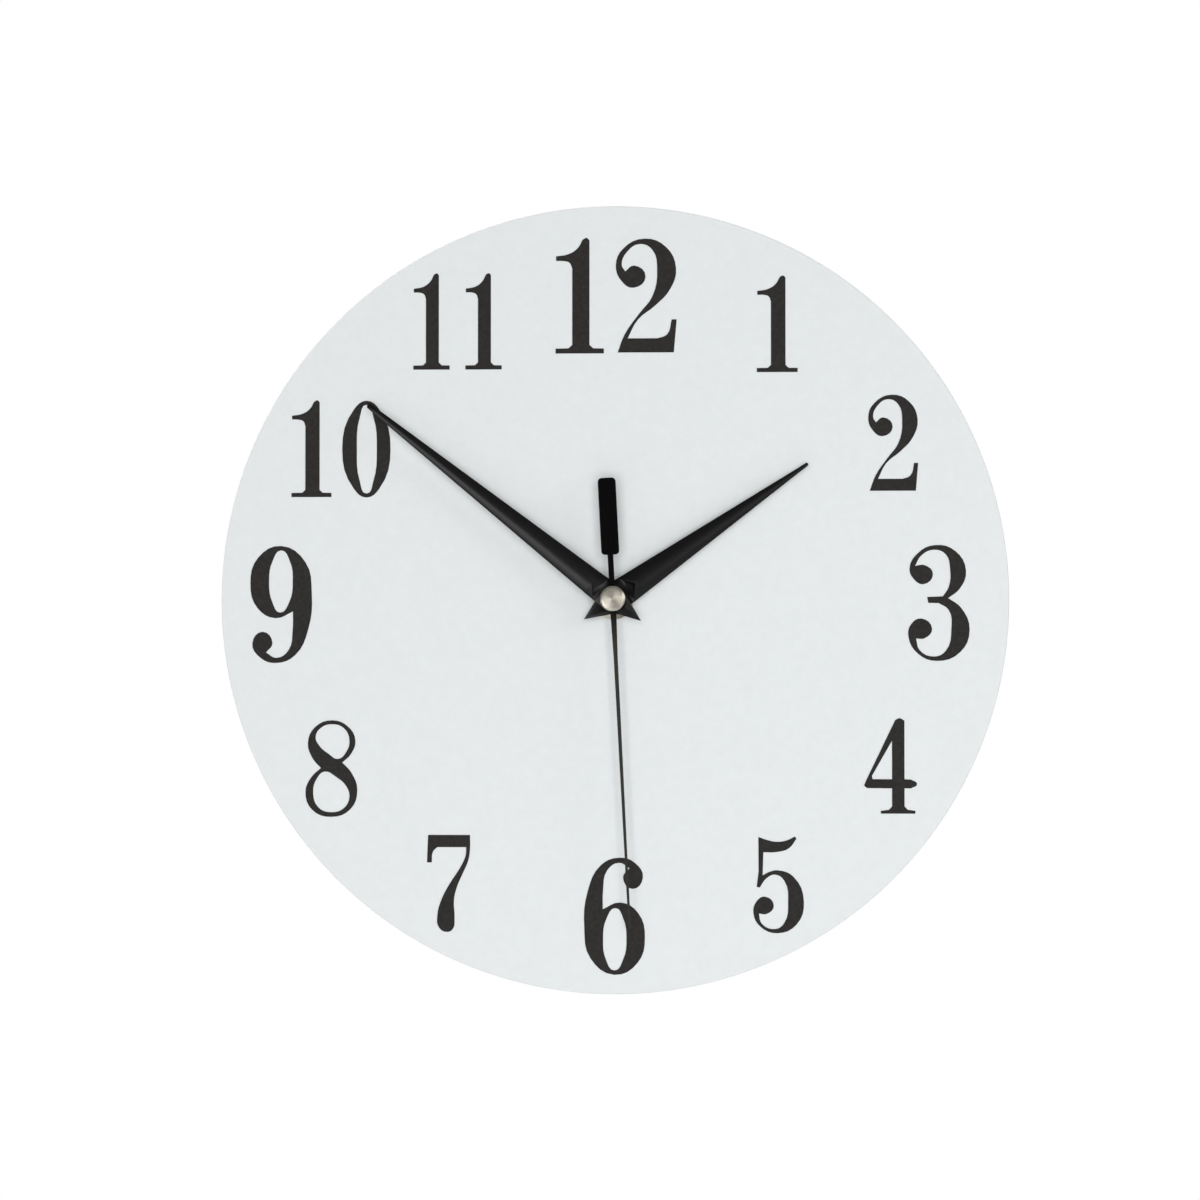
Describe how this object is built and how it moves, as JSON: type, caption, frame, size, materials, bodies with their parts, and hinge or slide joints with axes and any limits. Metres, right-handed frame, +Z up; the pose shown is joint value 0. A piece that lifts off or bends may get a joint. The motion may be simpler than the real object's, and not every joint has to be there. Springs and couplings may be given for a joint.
{
  "type": "wall clock",
  "caption": "Frameless round wall clock: flat pale dial with bold serif hour figures, three folded and flat hands, and a square quartz movement with hanging loop behind.",
  "frame": {"origin": "on the hands' axis, at the flat back face that lies against the wall", "axes": "+Y into the wall (the dial faces -Y), +Z up to twelve o'clock, +X to three o'clock seen from the front"},
  "size_m": [0.25, 0.0329, 0.25],
  "materials": {
    "black_abs": "moulded, fine spark texture",
    "white_acetal": "moulded, satin",
    "black_lacquer": "satin black lacquer on aluminium sheet",
    "nickel_plate": "fine turned, nickel plated",
    "brass": "turned",
    "electrical_steel": "blanked sheet",
    "ferrite": "sintered, matt",
    "enamelled_copper": "enamelled wire",
    "black_ink": "screen-printed ink, matt",
    "face_film": "matt laminated print, faint mottle",
    "mdf": "white-painted fibreboard",
    "black_rubber": "moulded",
    "circuit_laminate": "solder-resist laminate",
    "epoxy": "poured resin",
    "battery_jacket": "printed shrink sleeve, plain"
  },
  "bodies": {
    "clock_body": {"rear_cover": "black_abs", "movement_case": "black_abs", "threaded_bush": "brass", "rubber_gasket": "black_rubber", "fixing_washer": "nickel_plate", "fixing_nut": "nickel_plate", "dial_board": "mdf", "dial_face_film": "face_film", "stator": "electrical_steel", "coil_core": "electrical_steel", "coil_bobbin": "white_acetal", "coil_winding": "enamelled_copper", "circuit_board": "circuit_laminate", "chip_cover": "epoxy", "quartz_crystal": "nickel_plate", "negative_contact": "nickel_plate", "positive_contact": "nickel_plate", "numeral_1": "black_ink", "numeral_2": "black_ink", "numeral_3": "black_ink", "numeral_4": "black_ink", "numeral_5": "black_ink", "numeral_6": "black_ink", "numeral_7": "black_ink", "numeral_8": "black_ink", "numeral_9": "black_ink", "numeral_10_tens": "black_ink", "numeral_10_units": "black_ink", "numeral_11_tens": "black_ink", "numeral_11_units": "black_ink", "numeral_12_tens": "black_ink", "numeral_12_units": "black_ink"},
    "second_arbor": {"second_wheel": "white_acetal", "second_hand": "black_lacquer", "second_hand_collet": "brass", "second_hand_cap": "nickel_plate"},
    "third_arbor": {"third_wheel": "white_acetal"},
    "first_arbor": {"first_wheel": "white_acetal"},
    "rotor_arbor": {"rotor": "brass", "rotor_magnet": "ferrite"},
    "centre_wheel": {"centre_wheel": "white_acetal"},
    "minute_arbor": {"minute_tube": "white_acetal", "minute_hand": "black_lacquer"},
    "motion_arbor": {"motion_wheel": "white_acetal"},
    "hour_arbor": {"hour_wheel": "white_acetal", "hour_hand": "black_lacquer"},
    "knob_arbor": {"setting_knob": "black_abs"},
    "battery": {"battery": "battery_jacket"}
  },
  "joints": [
    {"name": "second_hand_turn", "type": "hinge", "parent": "clock_body", "child": "second_arbor", "pos_m": [0, 0, 0], "axis": [0, 1, 0], "continuous": true},
    {"name": "third_wheel_turn", "type": "hinge", "parent": "clock_body", "child": "third_arbor", "pos_m": [0.00883, 0, 0.0051], "axis": [0, 1, 0], "continuous": true},
    {"name": "centre_wheel_turn", "type": "hinge", "parent": "clock_body", "child": "centre_wheel", "pos_m": [0, 0, 0], "axis": [0, 1, 0], "continuous": true},
    {"name": "first_wheel_turn", "type": "hinge", "parent": "clock_body", "child": "first_arbor", "pos_m": [-0.00958, 0, 0.00349], "axis": [0, 1, 0], "continuous": true},
    {"name": "rotor_turn", "type": "hinge", "parent": "clock_body", "child": "rotor_arbor", "pos_m": [-0.01498, 0, 0.00992], "axis": [0, 1, 0], "continuous": true},
    {"name": "minute_hand_turn", "type": "hinge", "parent": "clock_body", "child": "minute_arbor", "pos_m": [0, 0, 0], "axis": [0, 1, 0], "continuous": true},
    {"name": "motion_wheel_turn", "type": "hinge", "parent": "clock_body", "child": "motion_arbor", "pos_m": [0, 0, 0.0096], "axis": [0, 1, 0], "continuous": true},
    {"name": "hour_hand_turn", "type": "hinge", "parent": "clock_body", "child": "hour_arbor", "pos_m": [0, 0, 0], "axis": [0, 1, 0], "continuous": true},
    {"name": "setting_knob_turn", "type": "hinge", "parent": "clock_body", "child": "knob_arbor", "pos_m": [0.00735, 0, 0.01577], "axis": [0, 1, 0], "continuous": true},
    {"name": "battery_slide", "type": "slide", "parent": "clock_body", "child": "battery", "axis": [0, 1, 0], "range_m": [0, 0.02]}
  ],
  "couplings": [
    {"joint": "third_wheel_turn", "follows": "second_hand_turn", "ratio": -0.13333},
    {"joint": "centre_wheel_turn", "follows": "second_hand_turn", "ratio": 0.016667},
    {"joint": "first_wheel_turn", "follows": "second_hand_turn", "ratio": -5},
    {"joint": "rotor_turn", "follows": "second_hand_turn", "ratio": 30},
    {"joint": "motion_wheel_turn", "follows": "minute_hand_turn", "ratio": -0.33333},
    {"joint": "hour_hand_turn", "follows": "minute_hand_turn", "ratio": 0.083333},
    {"joint": "setting_knob_turn", "follows": "minute_hand_turn", "ratio": 1}
  ]
}
